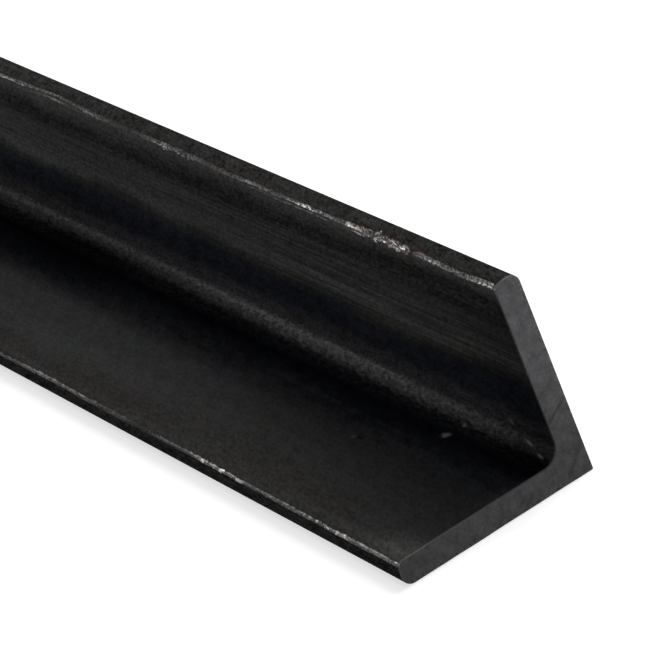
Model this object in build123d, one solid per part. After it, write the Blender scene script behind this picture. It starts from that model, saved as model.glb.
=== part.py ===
from build123d import *
import os

# Hot-rolled steel angle: one length of stock with two equal legs at a right angle.
# The legs are rolled with parallel faces, and a radius fills the root between them.
# The rolls leave each toe free to spread, so it isn't square: a nose rounds it off on the
# outer side, and from the crest of the nose it falls away a little to a tighter radius on
# the inner side. The heel is almost sharp. Both ends are sawn square.
#
# Millimetres, +Z up. The length runs along X, the flat leg lies on the floor with its toe
# towards -Y, and the upright leg stands along the +Y side. The origin is on the floor,
# under the middle of the footprint.

LENGTH = 1000.0         # sawn length of the piece
FLAT_LEG = 40.0         # outside width of the leg that lies flat, heel to crest of toe
UPRIGHT_LEG = 40.0      # outside height of the leg that stands, heel to crest of toe
THICKNESS = 5.0         # of both legs
ROOT_RADIUS = 3.5       # concave, between the inner faces of the legs
NOSE_RADIUS = 2.0       # convex, from the outer face of a leg to the crest of its toe
TOE_DROP = 0.5          # how far the inner edge of a toe lies back from the crest
TOE_EDGE_RADIUS = 0.7   # convex, toe to inner face
HEEL_RADIUS = 0.25      # convex, between the outer faces of the legs

NOSE_SHARE = 0.6        # most of the thickness that the nose may take
EDGE_SHARE = 0.3        # most of the thickness that the radius of an edge may take


def across_then_along(across, along):
    """A point of the upright leg, from its distance through the wall and up the leg."""
    return (across, along)


def along_then_across(across, along):
    """A point of the flat leg, from its distance through the wall and out along the leg."""
    return (along, across)


def add_toe(leg, place):
    """Draw one toe, from the outer face over the crest of the nose to the inner edge."""
    nose = min(NOSE_RADIUS, NOSE_SHARE * THICKNESS)
    outer, crest, inner = place(0, leg - nose), place(nose, leg), place(THICKNESS, leg - TOE_DROP)
    TangentArc(outer, crest, tangent=place(0, 1))
    TangentArc(crest, inner, tangent=place(1, 0))
    return outer, inner


def round_edge(sketch, corner, radius):
    """Fillet the vertex of the sketch that lies at the given corner point."""
    fillet(sketch.vertices().sort_by_distance(corner)[0], min(radius, EDGE_SHARE * THICKNESS))


def angle_section():
    """The L, with its heel at (0, 0), the flat leg along +X and the upright along +Y."""
    heel = (0, 0)
    root = (THICKNESS, THICKNESS)
    with BuildSketch() as section:
        with BuildLine():
            flat_outer, flat_inner = add_toe(FLAT_LEG, along_then_across)
            upright_outer, upright_inner = add_toe(UPRIGHT_LEG, across_then_along)
            Polyline(flat_outer, heel, upright_outer)
            Polyline(upright_inner, root, flat_inner)
        make_face()
        fillet(section.vertices().sort_by_distance(root)[0], ROOT_RADIUS)
        round_edge(section, heel, HEEL_RADIUS)
        round_edge(section, flat_inner, TOE_EDGE_RADIUS)
        round_edge(section, upright_inner, TOE_EDGE_RADIUS)
    return section.sketch


def steel_angle():
    """The section on the +X sawn face, heel on the +Y side, carried back along the length."""
    sawn_face = Plane(origin=(LENGTH / 2, FLAT_LEG / 2, 0), x_dir=(0, -1, 0), z_dir=(-1, 0, 0))
    return extrude(sawn_face * angle_section(), LENGTH)


os.makedirs("parts", exist_ok=True)
export_step(steel_angle(), "parts/steel_angle.step")
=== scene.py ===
"""Black hot-rolled steel angle: the rolled skin with its scale, its scuffed toes and its sawn ends."""
import math

import bpy
import numpy as np
from bpy.props import FloatProperty, FloatVectorProperty, IntProperty, PointerProperty
from mathutils import Euler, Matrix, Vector


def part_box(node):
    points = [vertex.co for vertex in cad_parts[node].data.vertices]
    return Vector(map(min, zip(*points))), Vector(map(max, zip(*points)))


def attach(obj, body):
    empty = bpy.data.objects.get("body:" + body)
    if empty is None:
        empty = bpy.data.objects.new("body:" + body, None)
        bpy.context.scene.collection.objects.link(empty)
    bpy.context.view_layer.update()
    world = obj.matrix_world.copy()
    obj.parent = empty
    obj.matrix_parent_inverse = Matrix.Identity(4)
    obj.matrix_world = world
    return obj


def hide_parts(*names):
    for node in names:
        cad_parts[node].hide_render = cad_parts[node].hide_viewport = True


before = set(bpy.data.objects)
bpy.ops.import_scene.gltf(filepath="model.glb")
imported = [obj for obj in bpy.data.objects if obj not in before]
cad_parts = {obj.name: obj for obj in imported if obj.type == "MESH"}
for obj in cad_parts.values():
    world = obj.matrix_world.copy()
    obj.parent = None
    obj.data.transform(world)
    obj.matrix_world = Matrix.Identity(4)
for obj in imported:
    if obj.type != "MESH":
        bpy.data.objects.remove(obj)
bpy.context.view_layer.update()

bl_info = {
    "name": "Black Steel Angle",
    "version": (1, 0, 0),
    "blender": (4, 5, 0),
    "location": "View3D > Sidebar > Steel Angle",
    "description": "Makes a length of hot-rolled steel angle, with mill scale, scuffed toes and sawn ends",
    "category": "Add Mesh",
}

NODE = "steel_angle"
MM = 0.001
BAR_LOW, BAR_HIGH = (Vector(corner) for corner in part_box(NODE))


# ---------------------------------------------------------------------------------------------
# Sizes and colours that a user would change
# ---------------------------------------------------------------------------------------------

def length_property(name, description, default):
    return FloatProperty(name=name, description=description, default=default, min=0, unit="LENGTH")


def colour_property(name, description, default):
    return FloatVectorProperty(name=name, description=description, default=default, size=3,
                               min=0, max=2, subtype="COLOR")


class SectionSizes(bpy.types.PropertyGroup):
    """The rolled section and the length that it was sawn to"""
    length: length_property("Length", "Sawn length of the bar", BAR_HIGH.x - BAR_LOW.x)
    leg: length_property("Leg", "Outside width of each leg, heel to crest of toe", BAR_HIGH.z - BAR_LOW.z)
    thickness: length_property("Thickness", "Wall of both legs", 5.0 * MM)
    root_radius: length_property("Root Radius", "Hollow between the inner faces", 3.5 * MM)
    nose_radius: length_property("Nose Radius", "Rounding of a toe, outer side", 2.0 * MM)
    toe_drop: length_property("Toe Drop", "How far a toe's inner edge lies back from its crest", 0.5 * MM)
    toe_edge_radius: length_property("Toe Edge Radius", "Rounding of a toe, inner side", 0.7 * MM)
    heel_radius: length_property("Heel Radius", "Rounding of the heel", 0.25 * MM)
    rings: IntProperty(name="Rings", description="Cross-sections along the bar", default=1000, min=50)


class ScaleLooks(bpy.types.PropertyGroup):
    """Colours of the rolled skin, the bare metal and the sawn ends"""
    # Painted shade in part: this colour's darkness stands in for the shade where the flat leg mirrors the
    # upright's dark face
    black_scale_and_shade: colour_property("Black Scale", "Thick, tight scale under the root", (0.0012, 0.0014, 0.0021))
    # Painted shade in part: this colour's darkness stands in for the shade where each leg mirrors the other's
    # dark face
    blue_scale_and_shade: colour_property("Blue Scale", "Heat-tinted scale over the root", (0.0053, 0.0058, 0.0079))
    violet_scale: colour_property("Violet Scale", "Pitted scale of the root", (0.0172, 0.0168, 0.0190))
    grey_scale: colour_property("Grey Scale", "Thinner scale towards the toes", (0.0085, 0.0085, 0.0086))
    # Painted highlight in part: the root's pale band is drawn in this colour, besides real dust
    dust_and_highlight_scale: colour_property("Dusty Scale", "Dust and bloom on the scale", (0.0140, 0.0139, 0.0138))
    olive_scale: colour_property("Olive Scale", "Warm dust by the flat leg's toe", (0.0146, 0.0143, 0.0134))
    toe_scale: colour_property("Toe Scale", "Dull scale of the toes", (0.0185, 0.0183, 0.0172))
    cool_cast: colour_property("Cool Cast", "Cast of the scale in its cooler patches", (0.97, 0.995, 1.028))
    warm_cast: colour_property("Warm Cast", "Cast of the scale in its warmer patches", (1.028, 1.003, 0.968))
    green_cast: colour_property("Green Cast", "Cast of oil and dirt in patches", (0.985, 1.013, 0.98))
    plum_cast: colour_property("Plum Cast", "Cast of heat tint in patches", (1.022, 0.984, 1.02))
    bare_steel: colour_property("Bare Steel", "Metal where the scale is rubbed off", (0.36, 0.355, 0.345))
    red_rust: colour_property("Red Rust", "Light rust in the scuffs", (0.30, 0.16, 0.14))
    dark_rust: colour_property("Dark Rust", "Rust in the creases beside the scuffs", (0.12, 0.012, 0.014))
    sawn_steel: colour_property("Sawn Steel", "The cut faces", (0.0735, 0.0718, 0.0750))


class StudioLooks(bpy.types.PropertyGroup):
    """The pale floor, the light and the camera"""
    floor_colour: colour_property("Floor", "Colour of the floor", (0.50, 0.50, 0.50))
    floor_glow: FloatProperty(name="Floor Glow", default=0.60, min=0,
                              description="White that the floor adds to the eye and to gloss")
    floor_size: length_property("Floor Size", "Side of the square floor", 60.0)
    sky_level: FloatProperty(name="Sky Level", default=0.35, min=0,
                             description="Strength of the soft light all round")
    lens: FloatProperty(name="Lens", description="Focal length on a 36 mm sensor, in mm", default=295.774)
    camera_place: FloatVectorProperty(name="Camera", description="Where the camera stands", size=3,
                                      default=(1.24328, -0.30284, 0.41994), subtype="TRANSLATION")
    camera_turn: FloatVectorProperty(name="Camera Turn", description="How the camera is turned", size=3,
                                     default=tuple(math.radians(a) for a in (63.3586, 20.1716, 59.0503)),
                                     subtype="EULER")


# ---------------------------------------------------------------------------------------------
# Shader maths
# ---------------------------------------------------------------------------------------------

class Value:
    """A socket that takes part in Python arithmetic; each operator adds one Math node."""

    def __init__(self, graph, socket):
        self.graph, self.socket = graph, socket

    def maths(self, operation, *others, **settings):
        return self.graph.node("ShaderNodeMath", {"operation": operation, **settings}, (self, *others))

    def __add__(self, other):
        return self.maths("ADD", other)

    def __mul__(self, other):
        return self.maths("MULTIPLY", other)

    def __sub__(self, other):
        return self.maths("SUBTRACT", other)

    def __rsub__(self, other):
        return self.graph.node("ShaderNodeMath", {"operation": "SUBTRACT"}, (other, self))

    def __abs__(self):
        return self.maths("ABSOLUTE")

    __radd__ = __add__
    __rmul__ = __mul__

    def squared(self):
        return self.maths("POWER", 2.0)

    def clamp(self):
        return self.maths("ADD", 0.0, use_clamp=True)

    def greatest(self, other):
        return self.maths("MAXIMUM", other)

    def between(self, low, high, low_value=0.0, high_value=1.0):
        """A smooth step from low_value at low to high_value at high; low may be above high."""
        return self.graph.node("ShaderNodeMapRange", {"interpolation_type": "SMOOTHSTEP"},
                               (self, low, high, low_value, high_value))

    def inside(self, rise, fall):
        """1 between a rise and a fall, each a pair: where it is 0, then where it is 1."""
        return self.between(*rise) * self.between(*fall)


FIRST_COLOUR, SECOND_COLOUR, MIXED_COLOUR = 6, 7, 2     # sockets of a Mix node set to colours


class Graph:
    """The nodes of one material or world."""

    def __init__(self, owner):
        owner.use_nodes = True
        self.tree = owner.node_tree
        self.tree.nodes.clear()

    def node(self, kind, settings=None, inputs=(), output=0):
        """Add a node: first its settings, among them the stops of a ramp, then its inputs, by order
        or by name, as values or links. Gives back one of its outputs."""
        made = self.tree.nodes.new(kind)
        for name, setting in (settings or {}).items():
            if name == "stops":
                set_stops(made.color_ramp.elements, setting)
            else:
                setattr(made, name, setting)
        named = inputs.items() if isinstance(inputs, dict) else enumerate(inputs)
        for key, given in named:
            if isinstance(given, Value):
                self.tree.links.new(given.socket, made.inputs[key])
            elif given is not None:
                made.inputs[key].default_value = given
        return None if output is None else Value(self, made.outputs[output])

    def mapped(self, place, scale=(1, 1, 1), shift=(0, 0, 0)):
        return self.node("ShaderNodeMapping", {}, {"Vector": place, "Location": shift, "Scale": scale})

    def object_place(self, shift=(0, 0, 0)):
        return self.mapped(self.node("ShaderNodeTexCoord", output="Object"), shift=shift)

    def parts(self, vector):
        return [self.node("ShaderNodeSeparateXYZ", {}, (vector,), output=axis) for axis in "XYZ"]

    def attribute(self, name, output="Fac"):
        return self.node("ShaderNodeAttribute", {"attribute_name": name}, output=output)

    def noise(self, place, scale, detail, roughness, flat=False):
        settings = {"noise_dimensions": "2D" if flat else "3D"}
        inputs = {"Vector": place, "Scale": scale, "Detail": detail, "Roughness": roughness}
        return self.node("ShaderNodeTexNoise", settings, inputs)

    def ramp(self, place, stops):
        """The colour at a place from 0 to 1, between stops of (place, colour)."""
        return self.node("ShaderNodeValToRGB", {"stops": stops}, (place,))

    def mix(self, share, first, second):
        """A colour that goes from first to second as share goes from 0 to 1."""
        sockets = {"Factor": share, FIRST_COLOUR: opaque(first), SECOND_COLOUR: opaque(second)}
        return self.node("ShaderNodeMix", {"data_type": "RGBA"}, sockets, output=MIXED_COLOUR)

    def product(self, first, second):
        """Two colours multiplied, channel by channel."""
        settings = {"data_type": "RGBA", "blend_type": "MULTIPLY"}
        sockets = {"Factor": 1.0, FIRST_COLOUR: opaque(first), SECOND_COLOUR: opaque(second)}
        return self.node("ShaderNodeMix", settings, sockets, output=MIXED_COLOUR)

    def tint(self, colour, level):
        """A colour multiplied by a number, through a grey of that number."""
        return self.product(colour, self.node("ShaderNodeCombineColor", {}, (level, level, level)))

    def bump(self, height, distance):
        return self.node("ShaderNodeBump", {}, {"Strength": 1.0, "Distance": distance, "Height": height})

    def principled(self, **sockets):
        named = {name.replace("_", " ").title().replace("Ior", "IOR"): given
                 for name, given in sockets.items()}
        return self.node("ShaderNodeBsdfPrincipled", {}, named)

    def finish(self, shader, kind="ShaderNodeOutputMaterial"):
        self.node(kind, {}, {"Surface": shader}, output=None)


def set_stops(elements, stops):
    while len(elements) < len(stops):
        elements.new(1.0)
    for element, (place, colour) in zip(elements, stops):
        element.position, element.color = place, opaque(colour)


def opaque(colour):
    """A plain colour with the fourth number that a colour socket wants; a link stays as it is."""
    return colour if isinstance(colour, Value) else (*colour, 1.0)


# ---------------------------------------------------------------------------------------------
# Materials
# ---------------------------------------------------------------------------------------------

# The look of the skin round its unrolled section, by distance in mm from the middle of the root:
# below zero over the flat leg, above zero over the upright leg, with the inner edge of a toe at 33.7,
# its outer side from 40 and the heel at 77. Each stop has its share of gloss, its share of grit, and
# its colour as a shade of one of those in ScaleLooks. The shades hold painted light as well as the
# scale's own colours: painted shade in the dark bands on each side of the root, where each leg
# mirrors the other's dark face, and on the flat leg's toe face, and a painted highlight in the
# root's pale band.
SKIN_STOPS = (
    (-43.0, 0.20, 0.9, 2.80, "grey_scale"), (-40.5, 0.04, 1.6, 1.00, "grey_scale"),
    (-35.4, 0.05, 1.6, 1.00, "grey_scale"), (-33.6, 0.08, 0.9, 1.67, "olive_scale"),
    (-30.0, 0.09, 0.7, 1.62, "olive_scale"), (-25.0, 0.14, 0.5, 2.90, "grey_scale"),
    (-17.0, 0.14, 0.5, 2.16, "grey_scale"), (-8.5, 0.05, 0.8, 1.04, "blue_scale_and_shade"),
    (-5.0, 0.03, 1.0, 1.30, "black_scale_and_shade"),
    (-3.0, 0.48, 1.9, 1.90, "black_scale_and_shade"), (-1.7, 0.29, 1.7, 0.70, "grey_scale"),
    (-0.8, 0.60, 1.5, 1.60, "grey_scale"), (0.0, 0.31, 1.3, 1.15, "dust_and_highlight_scale"),
    (0.8, 0.28, 1.3, 1.05, "dust_and_highlight_scale"), (1.7, 0.38, 1.2, 1.50, "dust_and_highlight_scale"),
    (2.8, 0.24, 1.1, 1.42, "violet_scale"), (4.4, 0.18, 1.1, 1.32, "violet_scale"),
    (7.0, 0.12, 0.9, 1.60, "blue_scale_and_shade"), (11.0, 0.10, 0.9, 1.75, "blue_scale_and_shade"),
    (13.8, 0.12, 0.9, 2.10, "grey_scale"), (16.8, 0.12, 0.8, 3.05, "dust_and_highlight_scale"),
    (19.5, 0.10, 0.8, 2.17, "dust_and_highlight_scale"), (25.0, 0.09, 0.9, 3.08, "grey_scale"),
    (27.0, 0.06, 1.3, 2.60, "grey_scale"), (29.5, 0.05, 1.3, 1.87, "grey_scale"),
    (31.3, 0.08, 1.0, 2.20, "dust_and_highlight_scale"), (33.0, 0.14, 1.0, 2.90, "dust_and_highlight_scale"),
    (34.8, 0.05, 1.4, 0.85, "toe_scale"),
    (36.2, 0.05, 1.3, 1.00, "toe_scale"), (37.6, 0.04, 1.3, 1.40, "grey_scale"),
    (40.5, 0.04, 1.0, 1.00, "grey_scale"), (43.0, 0.20, 0.9, 2.80, "grey_scale"),
)
SKIN_SPAN = 80.0        # mm either way that the ramps of stops cover
GRITTIEST = 4.0         # the most that a stop's grit may be

# Zones of the skin, each a rise and a fall as pairs of distances: where it is 0, then where it is
# whole. They are in mm from the middle of the root, and for a toe in mm past its inner edge.
LINED_FACE = (10, 15), (30, 26)             # roll lines of the upright leg
LINED_ROOT = (-2, -1), (5, 2)               # fainter ones in the root
SPECKLED_FACE = (24, 26.5), (31.5, 30)      # dark specks under the upright toe
PITTED_ROOT = (-3.6, -2.4), (0.8, -0.8)     # pits down the lower side of the root's pale band
DASHED_ROOT = (-5.5, -3.5), (0.2, -1.2)     # where the grain lies along the bar
# The dark bands beside the root: tight scale under painted shade, where the mottle is stronger
DARK_FLAT = (-15, -11), (-3, -5)            # the tight scale on each side of the root
DARK_UPRIGHT = (2, 4), (15, 11)
TOE_FACE = (0.8, 1.6), (6.5, 5.5)           # the face of a toe
FAINT_LINE = -9.3                           # a thin pale roll line on the flat leg
FAINT_LINE_ENDS = (20, 40), (100, 80)       # mm from the near end

# How much each pattern changes the tone of the skin, as a share of it
GRAIN_SHARE, CLOUD_SHARE = 2.3, 0.4
MOTTLE_SHARE, DARK_MOTTLE, TOE_MOTTLE = 0.6, 0.8, 1.1
LINE_SHARE, CLEAR_LINES, ROOT_LINES = 0.3, 1.8, 0.12
FACE_PITS, ROOT_PITS, SPECKS, FAINT_LINE_SHARE = 0.25, 0.3, 0.35, 0.4
BORDER_WANDER = 9           # mm that the borders between the skin's colours wander
GRAIN_STRETCH, GRAIN_LEAN = 0.6, 0.5    # of the grain: its share of the way along, and its slant
CUT_RIM = (0.5, 0.2)        # mm from a cut at which its bare rim starts and is whole
SKIN_BUMP, SAWN_BUMP = 0.08 * MM, 0.04 * MM     # how deep the finest relief of skin and cut seems

# Nicks and pits on the inner faces: mm from the near end, mm from the middle of the root, half
# length and half width in mm, how much bare steel shows (or how dark a pit is, below zero), and mm
# of slant for each mm along
NICKS = (
    (29.4, -5.3, 1.25, 0.95, 0.30, -0.13), (28.5, -1.7, 0.7, 0.5, 0.20, 0.2),
    (14.2, 2.9, 1.0, 0.6, 0.26, 0.2), (8.6, 0.4, 1.5, 0.34, 0.20, 0.2),
    (6.2, -0.2, 1.0, 0.2, 0.04, 0.2), (4.0, -0.9, 1.3, 0.32, 0.15, 0.2),
    (6.0, 15.5, 2.4, 0.2, 0.05, 0.2), (10.3, 17.4, 1.8, 0.2, 0.04, 0.2),
    (45.6, -14.0, 1.2, 0.8, -0.8, -0.3), (47.2, -14.6, 0.8, 0.6, 0.07, -0.3),
    (50.5, 22.6, 1.6, 0.5, -0.5, 0.2), (102.0, 22.4, 1.8, 0.6, -0.6, 0.2),
    (79.5, 22.8, 1.4, 0.6, -0.5, 0.2),
)


def mill_scale(looks, toe_edge, length):
    """Rolled skin: tight blue-black scale beside the root, darkened further by painted shade where each
    leg mirrors the other's dark face, greyer and dustier towards the toes, with a painted highlight in
    the root's pale band, roll lines all along it and a grain that leans back from the root. The toes
    are duller, and rubbed to bare steel on their inner edges; the flat leg's toe face is darkened as
    painted shade. The gloss of the scale is a share of metal under a dark colour, so that grit and
    bumps break it up. toe_edge is the distance from the middle of the root to the inner edge of a
    toe, in mm."""
    material = bpy.data.materials.new("mill_scale")
    g = Graph(material)
    unrolled = g.attribute("unrolled", "Vector")
    along, around, _ = g.parts(unrolled)
    past_edge = abs(around) - toe_edge

    backwards = along * GRAIN_STRETCH + (toe_edge - abs(past_edge)) * GRAIN_LEAN
    leaning = g.node("ShaderNodeCombineXYZ", {}, (backwards, around, 0.0))
    roll_lines = g.noise(g.mapped(unrolled, (1 / 80, 1, 1)), 1.7, 3, 0.6, flat=True)
    mottle = g.noise(leaning, 0.40, 3, 0.6, flat=True)
    cloud = g.noise(g.mapped(unrolled, (1 / 2.5, 1, 1)), 0.055, 4, 0.6, flat=True)
    grain = g.noise(leaning, 1.25, 3, 0.85, flat=True)
    dashes = g.noise(g.mapped(unrolled, (1 / 3.5, 1, 1)), 1.5, 3, 0.8, flat=True)
    pits = g.noise(g.mapped(leaning, shift=(3, 8, 0)), 1.2, 2, 0.6, flat=True)
    hue = g.noise(g.mapped(unrolled, (1 / 1.6, 1, 1)), 0.12, 3, 0.6, flat=True)
    blush = g.noise(g.mapped(unrolled, (1 / 1.6, 1, 1), (40, 9, 0)), 0.16, 3, 0.6, flat=True)

    on_face = past_edge.between(-1.0, -4.0) * abs(around).between(5.0, 9.0)
    place = (around + (cloud - 0.5) * BORDER_WANDER * on_face) * (0.5 / SKIN_SPAN) + 0.5
    spots = [(0.5 + 0.5 * distance / SKIN_SPAN, gloss, grit, tuple(shade * c for c in getattr(looks, name)))
             for distance, gloss, grit, shade, name in SKIN_STOPS]
    gloss = g.ramp(place, [(spot, (share,) * 3) for spot, share, _, _ in spots])
    grit = g.ramp(place, [(spot, (share / GRITTIEST,) * 3) for spot, _, share, _ in spots]) * GRITTIEST
    skin = g.ramp(place, [(spot, colour) for spot, _, _, colour in spots])

    lined = around.inside(*LINED_FACE) + around.inside(*LINED_ROOT) * ROOT_LINES
    lined = lined * along.between(60, 130, 1.0, 0.45)
    speckled = around.inside(*SPECKLED_FACE)
    dark = around.inside(*DARK_FLAT) + around.inside(*DARK_UPRIGHT)
    grain = grain + (dashes - grain) * around.inside(*DASHED_ROOT)
    blotches = MOTTLE_SHARE + DARK_MOTTLE * dark + TOE_MOTTLE * past_edge.inside(*TOE_FACE)
    level = 1 + (grain - 0.5) * grit * GRAIN_SHARE + (cloud - 0.5) * CLOUD_SHARE + (mottle - 0.5) * blotches
    # Painted light: the attribute read here makes the root band's painted highlight swell and fade along the
    # bar, and darkens stretches towards the near end, with random tone
    level = level * (1 + (roll_lines - 0.5) * (LINE_SHARE + CLEAR_LINES * lined)) * g.attribute("bloom")
    pitted = FACE_PITS * speckled + ROOT_PITS * around.inside(*PITTED_ROOT)
    level = level * (1 - pitted * pits.between(0.48, 0.58))
    level = level * (1 - SPECKS * speckled * mottle.between(0.46, 0.60))
    faint_line = abs(around - FAINT_LINE).between(0.8, 0.1) * along.inside(*FAINT_LINE_ENDS)
    level = level * (1 + FAINT_LINE_SHARE * faint_line)

    nick, pit = nicks(along, around, grain)
    crease, rub, rust = toe_rub(g, leaning, past_edge, around.between(-1, 1))
    cut = along.between(*CUT_RIM).greatest((length - along).between(*CUT_RIM))
    bare = rub.greatest(nick).greatest(cut * (0.10 + 0.08 * past_edge.between(-1.0, 0.5)))
    # The crease's darkening here is painted shade over the modelled groove
    level = (level * (1 - pit) * (1 - crease)).greatest(0.05)

    cast = g.product(g.mix(hue.between(0.3, 0.7), looks.cool_cast, looks.warm_cast),
                     g.mix(blush.between(0.3, 0.7), looks.green_cast, looks.plum_cast))
    scale = g.mix(crease * rust, g.tint(g.product(skin, cast), level), looks.dark_rust)
    colour = g.mix(bare, scale, g.mix(rust, looks.bare_steel, looks.red_rust))
    height = grain * grit * 0.4 + roll_lines * (0.2 + 0.7 * lined) - pits.between(0.5, 0.65) * 0.1 * grit
    g.finish(g.principled(base_color=colour, metallic=(gloss * level).greatest(bare).clamp(),
                          roughness=0.42 + 0.2 * (cloud - 0.5), specular_ior_level=0.0,
                          normal=g.bump(height * (1 - bare), distance=SKIN_BUMP)))
    return material


def nicks(along, around, grain):
    """Light nicks and dark pits: ellipses round their centres, slanted, with an edge that the grain
    makes ragged. Gives how much bare steel shows and how dark the pits are."""
    light = dark = 0.0
    for centre, middle, half_length, half_width, level, slant in NICKS:
        lengthways = (along - centre) * (1 / half_length)
        sideways = (around - middle - (along - centre) * slant) * (1 / half_width)
        away = lengthways.squared() + sideways.squared() + (grain - 0.5) * 3.6
        spot = away.between(1.5, -0.9, 0.0, abs(level))
        if level > 0:
            light = spot + light
        else:
            dark = spot + dark
    return light, dark


TWIN_GAP = 0.95         # mm from the middle of a rubbed line to its twin, on the inner face
CREASE_GAP = 0.2        # mm from the border of a rubbed line to the crease, on its toe side


def toe_rub(g, leaning, past_edge, upright):
    """The inner edge of a toe: a band of rubbed steel that wanders along it, with grains of bright
    metal, a brighter arris on the side of the inner face and a twin line in places. On the upright
    leg it is broken into beads. Gives the crease on its toe side, darkened as painted shade over the
    modelled groove, how much steel shows, and how much of that has rusted."""
    wander, width, metal, twin = (g.attribute(name) for name in ("wander", "width", "metal", "twin"))
    flaky = g.attribute("flaky")
    lumps = g.noise(leaning, 0.8, 4, 0.75, flat=True)
    fine = g.noise(g.mapped(leaning, shift=(5, 2, 0)), 2.2, 2, 0.7, flat=True)
    flakes = g.noise(g.mapped(leaning, shift=(7, 3, 0)), 0.75, 2, 0.6, flat=True)
    away = past_edge - wander + (lumps - 0.5) * (0.7 + 1.7 * flaky)
    band = (width - abs(away)).between(-0.14, 0.18)
    arris = abs(away + width * 0.7).between(0.26, 0.05) * band.greatest(0.3)
    twin_line = abs(away + TWIN_GAP).between(0.28, 0.06) * twin * (0.2 + lumps.between(0.35, 0.65) * 0.8)
    rub = band * (0.08 + fine.between(0.35, 0.70) * 0.28 + lumps.between(0.45, 0.70) * 0.30)
    rub = rub + arris * (0.06 + fine.between(0.3, 0.6) * 0.22)
    rub = rub + band * flakes.between(0.58, 0.68) * metal.between(0.55, 1.0) * 0.8
    beads = (fine.between(0.40, 0.57, 0.45, 1.25) - 1) * upright + 1
    rub = rub.greatest(twin_line) * metal * beads * (1 - flaky * flakes.between(0.50, 0.44))
    # Painted shade: the crease beside the rubbed line is darkened where its groove is modelled
    crease = abs(away - width - CREASE_GAP).between(0.22, 0.06) * g.attribute("crease") * 0.7
    rust = g.attribute("rust") * lumps.between(0.35, 0.60)
    return crease, rub.clamp(), rust.clamp()


# Strokes that the blade left on a sawn face, in mm: middle across from the heel and up from the
# floor, tilt in degrees, half length, half width, and how light (dark below zero)
STROKES = (
    (2.4, 13.6, 34, 3.6, 0.35, -0.34), (2.0, 18.6, 30, 3.0, 0.25, -0.14), (3.3, 24.5, 40, 2.6, 0.3, -0.10),
    (2.0, 4.2, 52, 2.6, 0.45, -0.26), (4.6, 1.6, 48, 1.4, 0.4, -0.22), (12.9, 1.7, 45, 1.6, 0.35, -0.24),
    (14.3, 2.2, 45, 1.2, 0.3, -0.16), (24.0, 2.0, 38, 1.8, 0.3, -0.10), (3.0, 31.0, 62, 2.4, 0.4, -0.08),
    (2.6, 36.5, 80, 1.8, 0.5, -0.06), (3.4, 10.4, 40, 3.0, 0.5, 0.10), (31.5, 2.4, 30, 2.0, 0.4, 0.08),
)
BLADE_MIDDLE = (0, 0.12, -0.11)     # the point that the arcs on a sawn face swing about


def sawn_steel(looks):
    """Grey cut face: mottled metal under fine grain, faint arcs about the middle of the blade, a few
    strokes, and bright specks by the outer edges. Painted shade darkens it towards the floor and
    towards the flat leg's toe, so that it pales towards the top of the upright leg."""
    material = bpy.data.materials.new("sawn_steel")
    g = Graph(material)
    place = g.object_place()
    _, across, up = g.parts(place)
    from_blade = g.object_place(shift=[-n for n in BLADE_MIDDLE])
    reach = g.node("ShaderNodeVectorMath", {"operation": "LENGTH"}, {0: from_blade}, output="Value")
    arcs = g.noise(g.node("ShaderNodeCombineXYZ", {}, (reach, 0.0, 0.0)), 2200, 3, 0.7)
    cloud = g.noise(place, 420, 4, 0.6)
    grain = g.noise(place, 1700, 3, 0.85)
    rim = across.between(19.0 * MM, 19.7 * MM).greatest(up.between(0.9 * MM, 0.3 * MM))
    specks = g.noise(place, 1400, 3, 0.8)
    level = 1 + (arcs - 0.5) * 0.25 + (cloud - 0.5) * 1.3 + (grain - 0.5) * 1.2 + (specks - 0.5) * rim * 3.0
    for middle, height, tilt, half_length, half_width, light in STROKES:
        turn = math.radians(tilt)
        y = across - (BAR_HIGH.y - middle * MM)
        z = up - height * MM
        lengthways = (y * math.cos(turn) + z * math.sin(turn)) * (1 / (half_length * MM))
        sideways = (z * math.cos(turn) - y * math.sin(turn)) * (1 / (half_width * MM))
        away = lengthways.squared() + sideways.squared() + (cloud - 0.5) * 2.0
        level = level * (1 + away.between(1.6, 0.2, 0.0, light))
    # Painted shade: darker towards the floor and towards the flat leg's toe
    level = level * up.between(3 * MM, 27 * MM, 0.83, 1.29) * across.between(-22 * MM, -2 * MM, 0.80, 1.0)
    hue = g.noise(place, 160, 2, 0.6)
    cast = g.mix(hue.between(0.3, 0.7, 0.35, 0.65), looks.cool_cast, looks.warm_cast)
    g.finish(g.principled(base_color=g.tint(g.product(looks.sawn_steel, cast), level), metallic=0.0,
                          roughness=0.55, specular_ior_level=0.05,
                          normal=g.bump(arcs * 0.6 + grain, distance=SAWN_BUMP)))
    return material


# ---------------------------------------------------------------------------------------------
# The rolled skin
# ---------------------------------------------------------------------------------------------

def lattice_noise(along, around, cell, seed):
    """Smooth noise from -1 to 1: a seeded random number on each corner of a lattice of cells,
    carried across each cell by a smooth step both ways."""
    u, v = np.broadcast_arrays(along / cell[0], around / cell[1])
    u0, v0 = np.floor(u), np.floor(v)
    fu, fv = ((t * t * (3 - 2 * t)) for t in (u - u0, v - v0))
    i, j = (u0 - u0.min()).astype(int), (v0 - v0.min()).astype(int)
    corners = np.random.default_rng(seed).uniform(-1, 1, (i.max() + 2, j.max() + 2))
    near = corners[i, j] * (1 - fu) + corners[i + 1, j] * fu
    far = corners[i, j + 1] * (1 - fu) + corners[i + 1, j + 1] * fu
    return near * (1 - fv) + far * fv


def smooth_step(value, low, high):
    """0 below low, 1 above high and a smooth cubic between them; low may be above high."""
    t = np.clip((value - low) / (high - low), 0, 1)
    return t * t * (3 - 2 * t)


def hump(value, centre, half_width):
    """1 at the centre and 0 from half_width away on both sides, by a smooth cubic."""
    return smooth_step(np.abs(value - centre), half_width, 0)


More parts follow.
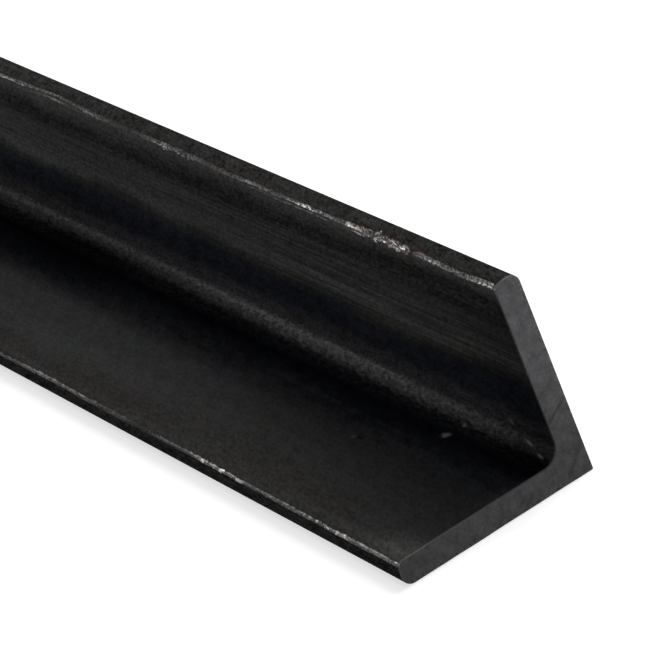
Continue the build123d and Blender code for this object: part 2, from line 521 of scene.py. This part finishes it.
def arc(centre, radius, start, end, segments):
    """Points and outward directions on an arc, its end left out for what follows."""
    angle = np.radians(np.linspace(start, end, segments, endpoint=False))
    direction = np.stack([np.cos(angle), np.sin(angle)], 1)
    return np.asarray(centre) + radius * direction, direction


def line(start, end, direction, segments):
    """Even points on a straight stretch and its outward direction, its end left out."""
    points = np.linspace(start, end, segments, endpoint=False)
    return points, np.tile(direction, (segments, 1)).astype(float)


SIDE_SEGMENTS = 24      # of the inner side of a leg, and again of its outer side
TOE_STRIP = 3.0 * MM    # the stretch of face beside a toe that has closer points
TOE_EDGE_POINT = 18     # the point of a leg's outline in the middle of its toe's inner edge
SHARP_FOLD = 38         # degrees past which an edge is shown sharp


def leg_outline(sizes):
    """One leg from the middle of the root out over its toe and back to the middle of the heel,
    as (distance along the leg, distance through the wall) and outward directions: root arc, inner
    face, edge rounding, crest arc, nose arc, outer face, heel arc. The inner side and the outer
    side have as many segments, so that a sawn end can be laddered between them."""
    wall, leg, nose = sizes.thickness, sizes.leg, sizes.nose_radius
    root, edge, heel = sizes.root_radius, sizes.toe_edge_radius, sizes.heel_radius
    crest_radius = ((wall - nose) ** 2 + sizes.toe_drop ** 2) / (2 * sizes.toe_drop)
    crest_centre = np.array([leg - crest_radius, nose])
    edge_centre = np.array([0, wall - edge])
    edge_centre[0] = crest_centre[0] + math.sqrt(
        (crest_radius - edge) ** 2 - (edge_centre[1] - nose) ** 2)
    lean = math.degrees(math.atan2(*(edge_centre - crest_centre)[::-1]))
    strip = edge_centre[0] - TOE_STRIP
    root_points, root_outward = arc((wall + root, wall + root), root, 225, 270, 4)
    parts = [
        (root_points, -root_outward),
        line((wall + root, wall), (strip, wall), (0, 1), 6),
        line((strip, wall), (edge_centre[0], wall), (0, 1), 6),
        arc(edge_centre, edge, 90, lean, 4),
        arc(crest_centre, crest_radius, lean, 0, 4),
        arc((leg - nose, nose), nose, 0, -90, 7),
        line((leg - nose, 0), (leg - nose - TOE_STRIP, 0), (0, -1), 3),
        line((leg - nose - TOE_STRIP, 0), (heel, 0), (0, -1), 12),
        arc((heel, heel), heel, 270, 225, 2),
    ]
    points, directions = (np.concatenate(column) for column in zip(*parts))
    return points, directions


def section_loop(sizes):
    """The whole section as (y, z) places and outward directions, and each point's distance round
    it from the middle of the root, below zero on the flat leg. The upright leg is the flat leg
    with its two coordinates swapped, taken in reverse."""
    flat, flat_out = leg_outline(sizes)
    heel_middle = np.full((1, 2), sizes.heel_radius * (1 - math.sqrt(0.5)))
    heel_out = np.full((1, 2), -math.sqrt(0.5))
    way = np.concatenate([flat, heel_middle])
    distance = np.concatenate([[0], np.cumsum(np.linalg.norm(np.diff(way, axis=0), axis=1))])
    upright, upright_out = flat[:0:-1, ::-1], flat_out[:0:-1, ::-1]
    along_y = np.concatenate([flat, heel_middle, upright])
    outward = np.concatenate([flat_out, heel_out, upright_out])
    around = np.concatenate([-distance[:-1], [-distance[-1]], distance[-2:0:-1]])
    places = np.stack([BAR_HIGH.y - along_y[:, 0], along_y[:, 1]], 1)
    outward = np.stack([-outward[:, 0], outward[:, 1]], 1)
    return places, outward, around


BURR_DEPTH = 0.18 * MM      # how far the broken edge of a sawn end reaches along the bar
EVEN_SHARE = 0.4            # share of the rings' spacing that is the same all along the bar


def stations(sizes):
    """Distances of the rings from the near end: close together there, where scuffs are seen, and
    wider apart towards the far end, by a cubic."""
    t = np.linspace(0, 1, sizes.rings)
    spread = sizes.length * (EVEN_SHARE * t + (1 - EVEN_SHARE) * t ** 3)
    return np.unique(np.concatenate([spread, [BURR_DEPTH, sizes.length - BURR_DEPTH]]))


def bar_faces(rings, points):
    """Quads between neighbouring rings, then both sawn ends as ladders from the inner side of the
    section to its outer side, which close in a triangle at the crest of each toe."""
    ring, point = np.meshgrid(np.arange(rings - 1), np.arange(points), indexing="ij")
    after = (point + 1) % points
    quads = np.stack([ring * points + point, (ring + 1) * points + point,
                      (ring + 1) * points + after, ring * points + after], -1).reshape(-1, 4)
    rung = np.arange(SIDE_SEGMENTS)
    flat = np.stack([rung, rung + 1, 2 * SIDE_SEGMENTS - rung - 1, 2 * SIDE_SEGMENTS - rung], 1)
    upright = (points - flat[:, ::-1]) % points
    ladder = np.concatenate([flat, upright])
    return quads, ladder, ladder[:, ::-1] + (rings - 1) * points


def skin_mesh(name, vertices, quads, ends):
    """A closed mesh from the quads of the skin and the ladders of the ends."""
    faces = quads.tolist()
    for ladder in ends:
        faces += [list(dict.fromkeys(rung)) for rung in ladder.tolist()]
    mesh = bpy.data.meshes.new(name)
    mesh.from_pydata(vertices.reshape(-1, 3).tolist(), [], faces)
    sawn = np.arange(len(faces)) >= len(quads)
    mesh.polygons.foreach_set("material_index", sawn.astype(int))
    mesh.polygons.foreach_set("use_smooth", np.ones(len(faces), bool))
    mesh.update()
    mesh.set_sharp_from_angle(angle=math.radians(SHARP_FOLD))
    return mesh


def corner_places(mesh, vertices, along, around):
    """For each corner of the mesh, its distance from the near end and its signed distance round the
    section, both in mm. The last face before the heel has the heel below zero and the next one has
    it above zero, so that nothing runs backwards across the heel."""
    start, end = around.copy(), np.roll(around, -1)
    start[2 * SIDE_SEGMENTS] *= -1
    s = np.stack([along[:-1], along[1:], along[1:], along[:-1]], -1)[:, None, :]
    d = np.stack([start, start, end, end], -1)[None]
    skin = np.stack(np.broadcast_arrays(s, d), -1).reshape(-1, 2)
    corner = np.empty(len(mesh.loops), int)
    mesh.loops.foreach_get("vertex_index", corner)
    ends = corner[len(skin):]
    caps = np.stack([along[ends // len(around)], around[ends % len(around)]], -1)
    places = vertices.reshape(-1, 3)[ends]
    return np.concatenate([skin, caps]) / MM, len(skin), places


STRIPS = 2              # strips that the skin is cut into in the flat layout
SKIN_SHARE = 0.8        # share of the layout's height that they fill
MARGIN = 0.006          # left free round each strip and end


def bake_map(corners, skin, places, length):
    """Flat layout of the surface: the skin in long strips, one above the other, and the two sawn ends
    side by side over them."""
    s, d = corners[:skin, 0].reshape(-1, 4), corners[:skin, 1].reshape(-1, 4)
    strip_length = length / STRIPS
    strip = np.minimum(s.mean(1) // strip_length, STRIPS - 1)[:, None]
    height = SKIN_SHARE / STRIPS
    u = MARGIN + (s / strip_length - strip) * (1 - 2 * MARGIN)
    v = strip * height + MARGIN + (d / SKIN_SPAN + 1) / 2 * (height - 2 * MARGIN)
    side = 1 - SKIN_SHARE - 2 * MARGIN
    across = (places[:, 1] - BAR_LOW.y) / (BAR_HIGH.y - BAR_LOW.y) * side
    far = (places[:, 0] < 0) * (side + 2 * MARGIN)
    up = places[:, 2] / BAR_HIGH.z * side
    ends = np.stack([MARGIN + far + across, SKIN_SHARE + MARGIN + up], -1)
    return np.concatenate([np.stack([u, v], -1).reshape(-1, 2), ends])


# Scuffs on the inner edge of a toe, in mm: centre from the near end, half length, how far the scuff
# lies out from the line and its extra half width, then extra shares of metal, of rust, of flaking
# and of the painted shade in the crease beside the scuff
UPRIGHT_SCUFFS = (
    (4.0, 24.0, -0.36, 0.16, -0.02, 0.00, 0.0, 0.4),
    (3.0, 9.0, 0.50, -0.06, 0.50, 0.00, 0.0, 0.0),
    (25.6, 2.6, 0.05, 0.10, -0.05, 0.95, 0.0, 0.2),
    (28.3, 1.7, 0.00, -0.60, -0.60, 0.30, 0.0, 0.8),
    (33.0, 6.5, -0.08, 0.70, 0.85, 0.00, 0.9, 0.0),
    (40.5, 6.5, 0.00, 0.66, 0.85, 0.02, 0.9, 0.0),
    (47.5, 6.5, 0.12, 0.14, 0.85, 0.36, 0.3, 0.6),
    (54.5, 4.0, 0.00, 0.10, -0.20, 0.10, 0.0, 0.0),
    (66.0, 13.0, 0.10, -0.02, 0.38, 0.00, 0.5, 0.3),
    (84.0, 10.0, 0.12, -0.04, 0.22, 0.00, 0.2, 0.3),
    (98.0, 12.0, -0.06, -0.02, -0.08, 0.00, 0.3, 0.3),
    (112.0, 10.0, -0.10, 0.26, 0.00, 0.00, 0.9, 0.0),
    (121.5, 4.0, -0.20, 0.34, 0.25, 0.00, 0.7, 0.0),
    (138.0, 18.0, -0.15, 0.08, -0.50, 0.00, 0.3, 0.0),
    (168.0, 20.0, 0.62, -0.20, -0.22, 0.00, 0.0, 0.4),
)
FLAT_SCUFFS = (
    (12.0, 22.0, 0.02, 0.10, 0.40, 0.05, 0.0, 0.6),
    (40.0, 12.0, 0.00, 0.06, 0.02, 0.00, 0.0, 0.6),
    (66.0, 15.0, -0.05, 0.04, 0.75, 0.12, 0.0, 0.6),
    (105.0, 35.0, 0.00, 0.08, -0.28, 0.00, 0.3, 0.2),
    (160.0, 35.0, 0.20, 0.06, -0.10, 0.00, 0.2, 0.3),
)
TWIN_LINES = ((47.5, 6.0), (72.0, 24.0), (168.0, 20.0))     # where the upright toe has a second line
SCUFFS_END = 200        # mm from the near end, past which flaking and twin lines come from noise alone
FLAT_LINE, UPRIGHT_LINE = 0.50, 0.0     # mm past the inner edge of each toe that its rubbed line keeps to
FLAT_SEED, UPRIGHT_SEED = 21, 31


def scuff_profiles(along, scuffs, twins, middle, seed):
    """What the scuffed line does along one toe: its wander about the middle and its half width in mm,
    and the shares of metal, rust, flaking, crease and twin line. Each is seeded noise with humps
    added where a scuff lies."""
    s = along / MM
    flat = np.zeros_like(s)

    def noise(cell, step):
        return lattice_noise(s, flat, (cell, 1), seed + step)

    profiles = {
        "wander": middle + 0.12 * noise(28, 0) + 0.06 * noise(7, 1),
        "width": 0.38 + 0.07 * noise(9, 2),
        "metal": 0.60 + 0.22 * noise(8, 3) + 0.20 * noise(70, 6),
        "rust": 0.25 * smooth_step(noise(40, 4), 0.4, 1.0),
        "flaky": 0.6 * smooth_step(noise(60, 7), 0.5, 0.9) * (s > SCUFFS_END),
        "crease": 0.35 + 0.25 * noise(25, 8),
    }
    for centre, half_length, *extras in scuffs:
        for name, extra in zip(("wander", "width", "metal", "rust", "flaky", "crease"), extras):
            profiles[name] = profiles[name] + extra * hump(s, centre, half_length)
    profiles["twin"] = 0.8 * smooth_step(noise(35, 5), 0.55, 0.9) * (s > SCUFFS_END)
    for centre, half_length in twins:
        profiles["twin"] = profiles["twin"] + hump(s, centre, half_length)
    return profiles


# Lighter and darker stretches of the skin: where each rises from and to, and falls from and to, in
# mm from the middle of the root, the change of tone, and where along it starts and is whole, in mm.
# Over the root they make the painted highlight fade towards both ends; over the upright leg they
# darken it towards the near end.
TONE_AND_LIGHT_CHANGES = (
    (9, 12, 28, 31, -0.32, 20, 0), (9, 12, 28, 31, -0.27, 60, 5), (9, 12, 28, 31, 0.10, 90, 150),
    (-4, 4, 4, 12, -0.64, 22, 3), (-4.2, -2, -2, 0.2, -0.65, 26, 4), (1, 4, 10, 12, -0.16, 130, 175),
    (-15, -9, -9, -3, -0.45, 140, 175), (-34, -29, -29, -24, -0.22, 70, 110),
    (-20, -16, -16, -12, 0.30, 70, 100), (-35, -31, -31, -27, 0.80, 18, 4),
)


def bloom(along, around):
    """The tone of the skin at a place, as a share of what its stops give, painted light in part: the
    flat leg pales from the near end, the painted highlight in the root's band swells and fades along
    the bar, each listed stretch of lighter and darker skin has its own share, and slow seeded noise
    varies the rest of the bar."""
    s, d = along[:, None], around[None, :]
    on_flat = smooth_step(d, -32, -29) * smooth_step(d, -12, -15)
    share = 1 + on_flat * (0.15 * smooth_step(s, 60, 150) - 0.42 * smooth_step(s, 90, -10))
    lean = np.clip(d, -2, 2)
    swell = hump(s, 75 + 12 * lean, 95) + smooth_step(s, 230, 300)
    share = share * (1 - hump(d, 0, 5) * (0.5 - 0.09 * lean) * np.clip(1 - swell, 0, 1))
    share = share * (1 - hump(d, -2, 2.2) * 0.65 * hump(s, 175, 35))
    for rise, risen, fall, fallen, change, start, whole in TONE_AND_LIGHT_CHANGES:
        across = smooth_step(d, rise, risen) * smooth_step(d, fallen, fall)
        share = share * (1 + across * change * smooth_step(s, start, whole))
    waves = lattice_noise(s, d + 200, (70, 16), 41) * smooth_step(s, 120, 260)
    return share * (1 + 0.22 * waves)


# Heights of the skin's relief, in mm
LUMP_HEIGHT, CHIP_DEPTH, FLAKE_HEIGHT, STRIKE_DEPTH = 0.07, 0.14, 0.12, 0.22
CREASE_DEPTH, WAVE_HEIGHT, CHAMFER, CHAMFER_WAVER = 0.08, 0.03, 0.10, 0.05
STRIKE = 36             # mm from the near end to where the upright toe was struck


def relief(sizes, along, past_edge, upright):
    """Height of the skin above the plain section in metres: chips and lumps along the inner edge of
    each toe, a dent with flaked sides where the upright toe was struck, a crease beside the edge, and
    slow waves over the faces. The sawn ends are broken by an uneven chamfer."""
    s, e = along[:, None] / MM, past_edge[None, :]
    side = e + 100 * upright
    near = hump(e, -0.1, 1.2) * (0.6 + 0.4 * hump(s, STRIKE, 12))
    lumps = lattice_noise(s, side, (1.7, 0.8), 11)
    chips = smooth_step(lattice_noise(s, side, (3.1, 1.2), 12), 0.25, 0.9)
    struck = hump(s, STRIKE, 9) * hump(e, -0.1, 1.3) * upright
    flakes = lattice_noise(s, side, (1.1, 0.5), 15)
    crease = hump(e, 0.6, 0.5) * (0.7 + 0.3 * lattice_noise(s, upright * 9, (6, 1), 13))
    waves = lattice_noise(s, e, (55, 14), 14) * hump(e, -16, 16)
    height = near * (LUMP_HEIGHT * lumps - CHIP_DEPTH * chips)
    height = height + struck * (FLAKE_HEIGHT * flakes - STRIKE_DEPTH)
    height = height - CREASE_DEPTH * crease + WAVE_HEIGHT * waves
    ragged = lattice_noise(side * 0 + 3, side, (1, 1.1), 16)[0]
    height[[0, -1]] -= CHAMFER + CHAMFER_WAVER * ragged
    return MM * height


def build_bar(sizes, looks):
    """The bar as one closed surface: the section is carried from the near end along the bar, and each
    point of it stands off by the relief there, in its outward direction."""
    places, outward, around = section_loop(sizes)
    along = stations(sizes)
    toe_edge = abs(around[TOE_EDGE_POINT]) / MM
    past_edge = np.abs(around) / MM - toe_edge
    upright = smooth_step(around / MM, -1.5, 1.5) * (around > -around.max())
    height = relief(sizes, along, past_edge, upright)
    vertices = np.empty((len(along), len(around), 3))
    vertices[..., 0] = BAR_HIGH.x - along[:, None]
    vertices[..., 1:] = places[None] + height[..., None] * outward[None]
    quads, near, far = bar_faces(len(along), len(around))
    mesh = skin_mesh("rolled_bar", vertices, quads, (near, far))

    flat_toe = scuff_profiles(along, FLAT_SCUFFS, (), FLAT_LINE, FLAT_SEED)
    upright_toe = scuff_profiles(along, UPRIGHT_SCUFFS, TWIN_LINES, UPRIGHT_LINE, UPRIGHT_SEED)
    on_points = {name: np.where(upright[None] > 0.5, upright_toe[name][:, None], flat_toe[name][:, None])
                 for name in flat_toe}
    on_points["bloom"] = bloom(along / MM, around / MM)
    for name, values in on_points.items():
        mesh.attributes.new(name, "FLOAT", "POINT").data.foreach_set("value", values.ravel())
    corners, skin, end_places = corner_places(mesh, vertices, along, around)
    unrolled = np.concatenate([corners, np.zeros((len(corners), 1))], 1)
    mesh.attributes.new("unrolled", "FLOAT_VECTOR", "CORNER").data.foreach_set("vector", unrolled.ravel())
    layout = bake_map(corners, skin, end_places, sizes.length / MM)
    mesh.uv_layers.new(name="OFBake").uv.foreach_set("vector", layout.ravel())

    mesh.materials.append(mill_scale(looks, toe_edge, sizes.length / MM))
    mesh.materials.append(sawn_steel(looks))
    bar = bpy.data.objects.new("rolled_bar", mesh)
    bpy.context.scene.collection.objects.link(bar)
    return bar


# ---------------------------------------------------------------------------------------------
# Operators and panel
# ---------------------------------------------------------------------------------------------

class MakeBar(bpy.types.Operator):
    """Make the rolled bar over its CAD solid"""
    bl_idname = "steel_angle.make_bar"
    bl_label = "Make Rolled Bar"

    def execute(self, context):
        scene = context.scene
        bar = build_bar(scene.angle_section, scene.angle_looks)
        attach(bar, "root")
        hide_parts(NODE)
        return {"FINISHED"}


FLOOR_GAP = 0.1 * MM        # between the floor and the bar's underside, which would flicker if they met
LIT_FLOOR = (0.6, 2.5)      # metres from the bar's middle over which the lamps' light on the floor fades


def floor_material(studio):
    """Pale floor that shows the bar's shadow and otherwise reads as white to the eye and to gloss: its
    own glow makes up what the light leaves, near the bar and out where the lamps no longer reach.
    From below it is clear, so that the underside can be seen."""
    material = bpy.data.materials.new("studio_floor")
    g = Graph(material)
    diffuse = g.node("ShaderNodeBsdfDiffuse", {}, {"Color": opaque(studio.floor_colour)})
    reach = g.node("ShaderNodeVectorMath", {"operation": "LENGTH"}, {0: g.object_place()}, output="Value")
    level = reach.between(*LIT_FLOOR, studio.floor_glow, 1 - studio.floor_colour[0] * studio.sky_level)
    glow = g.node("ShaderNodeEmission", {}, {"Color": g.tint((1, 1, 1), seen_rays(g) * level)})
    floor = g.node("ShaderNodeAddShader", {}, (diffuse, glow))
    below = g.node("ShaderNodeNewGeometry", output="Backfacing")
    g.finish(g.node("ShaderNodeMixShader", {}, (below, floor, g.node("ShaderNodeBsdfTransparent"))))
    return material


def seen_rays(g):
    """1 for rays from the camera, from gloss and through glass, 0 for the rest."""
    camera = g.node("ShaderNodeLightPath", output="Is Camera Ray")
    glossy = g.node("ShaderNodeLightPath", output="Is Glossy Ray")
    through = g.node("ShaderNodeLightPath", output="Is Transmission Ray")
    return camera.greatest(glossy).greatest(through)


# The soft boxes: name, place, point that it faces, side in metres and power in watts
LAMPS = (
    ("back_box", (0.3, 1.1, 1.5), (0.3, 0, 0), 1.2, 32),
    ("end_box", (2.2, -0.2, 1.2), (0.45, 0, 0), 1.0, 13),
    ("low_box", (-1.4, -1.15, 0.32), (0.4, 0, 0), 0.8, 9),
)
SENSOR_WIDTH = 36.0         # mm
CLIPPING = (0.05, 200.0)    # nearest and farthest that the camera sees, in metres


def soft_lamp(name, place, aim, size, power):
    """A square soft box that faces the aim point, unseen by the camera."""
    light = bpy.data.lights.new(name, "AREA")
    light.shape, light.size, light.energy = "SQUARE", size, power
    lamp = bpy.data.objects.new(name, light)
    lamp.location = place
    lamp.rotation_euler = (Vector(aim) - Vector(place)).to_track_quat("-Z", "Y").to_euler()
    lamp.visible_camera = False
    bpy.context.scene.collection.objects.link(lamp)


class SetStage(bpy.types.Operator):
    """Set the floor, the lights and the camera"""
    bl_idname = "steel_angle.set_stage"
    bl_label = "Set Stage"

    def execute(self, context):
        studio = context.scene.angle_studio
        self.add_floor(studio)
        self.add_light(context.scene, studio)
        self.add_camera(context.scene, studio)
        return {"FINISHED"}

    def add_floor(self, studio):
        half = studio.floor_size / 2
        mesh = bpy.data.meshes.new("floor")
        corners = [(-half, -half), (half, -half), (half, half), (-half, half)]
        mesh.from_pydata([(x, y, -FLOOR_GAP) for x, y in corners], [], [(0, 1, 2, 3)])
        mesh.materials.append(floor_material(studio))
        floor = bpy.data.objects.new("floor", mesh)
        bpy.context.scene.collection.objects.link(floor)

    def add_light(self, scene, studio):
        world = bpy.data.worlds.new("studio")
        g = Graph(world)
        seen = seen_rays(g)
        sky = g.node("ShaderNodeBackground", {}, {"Color": opaque((1, 1, 1)), "Strength": studio.sky_level})
        white = g.node("ShaderNodeBackground", {}, {"Color": opaque((1, 1, 1)), "Strength": 1.0})
        g.finish(g.node("ShaderNodeMixShader", {}, (seen, sky, white)), "ShaderNodeOutputWorld")
        scene.world = world
        for lamp in LAMPS:
            soft_lamp(*lamp)

    def add_camera(self, scene, studio):
        data = bpy.data.cameras.new("camera")
        data.lens, data.sensor_width, data.sensor_fit = studio.lens, SENSOR_WIDTH, "HORIZONTAL"
        data.clip_start, data.clip_end = CLIPPING
        camera = bpy.data.objects.new("camera", data)
        camera.location = studio.camera_place
        camera.rotation_euler = Euler(studio.camera_turn)
        scene.collection.objects.link(camera)
        scene.camera = camera
        scene.view_settings.view_transform = "Standard"


class AnglePanel(bpy.types.Panel):
    """Sizes, colours and steps of the steel angle"""
    bl_idname = "VIEW3D_PT_steel_angle"
    bl_label = "Steel Angle"
    bl_space_type = "VIEW_3D"
    bl_region_type = "UI"
    bl_category = "Steel Angle"

    def draw(self, context):
        for group in (context.scene.angle_section, context.scene.angle_looks, context.scene.angle_studio):
            box = self.layout.box()
            for name in group.__annotations__:
                box.prop(group, name)
        for operator in OPERATORS:
            self.layout.operator(operator.bl_idname)


GROUPS = {"angle_section": SectionSizes, "angle_looks": ScaleLooks, "angle_studio": StudioLooks}
OPERATORS = (MakeBar, SetStage)


def register():
    for group in (*GROUPS.values(), *OPERATORS, AnglePanel):
        bpy.utils.register_class(group)
    for name, group in GROUPS.items():
        setattr(bpy.types.Scene, name, PointerProperty(type=group))


def unregister():
    for name in GROUPS:
        delattr(bpy.types.Scene, name)
    for group in reversed((*GROUPS.values(), *OPERATORS, AnglePanel)):
        bpy.utils.unregister_class(group)


def main():
    register()
    bpy.ops.steel_angle.make_bar()
    bpy.ops.steel_angle.set_stage()


if __name__ == "__main__":
    main()
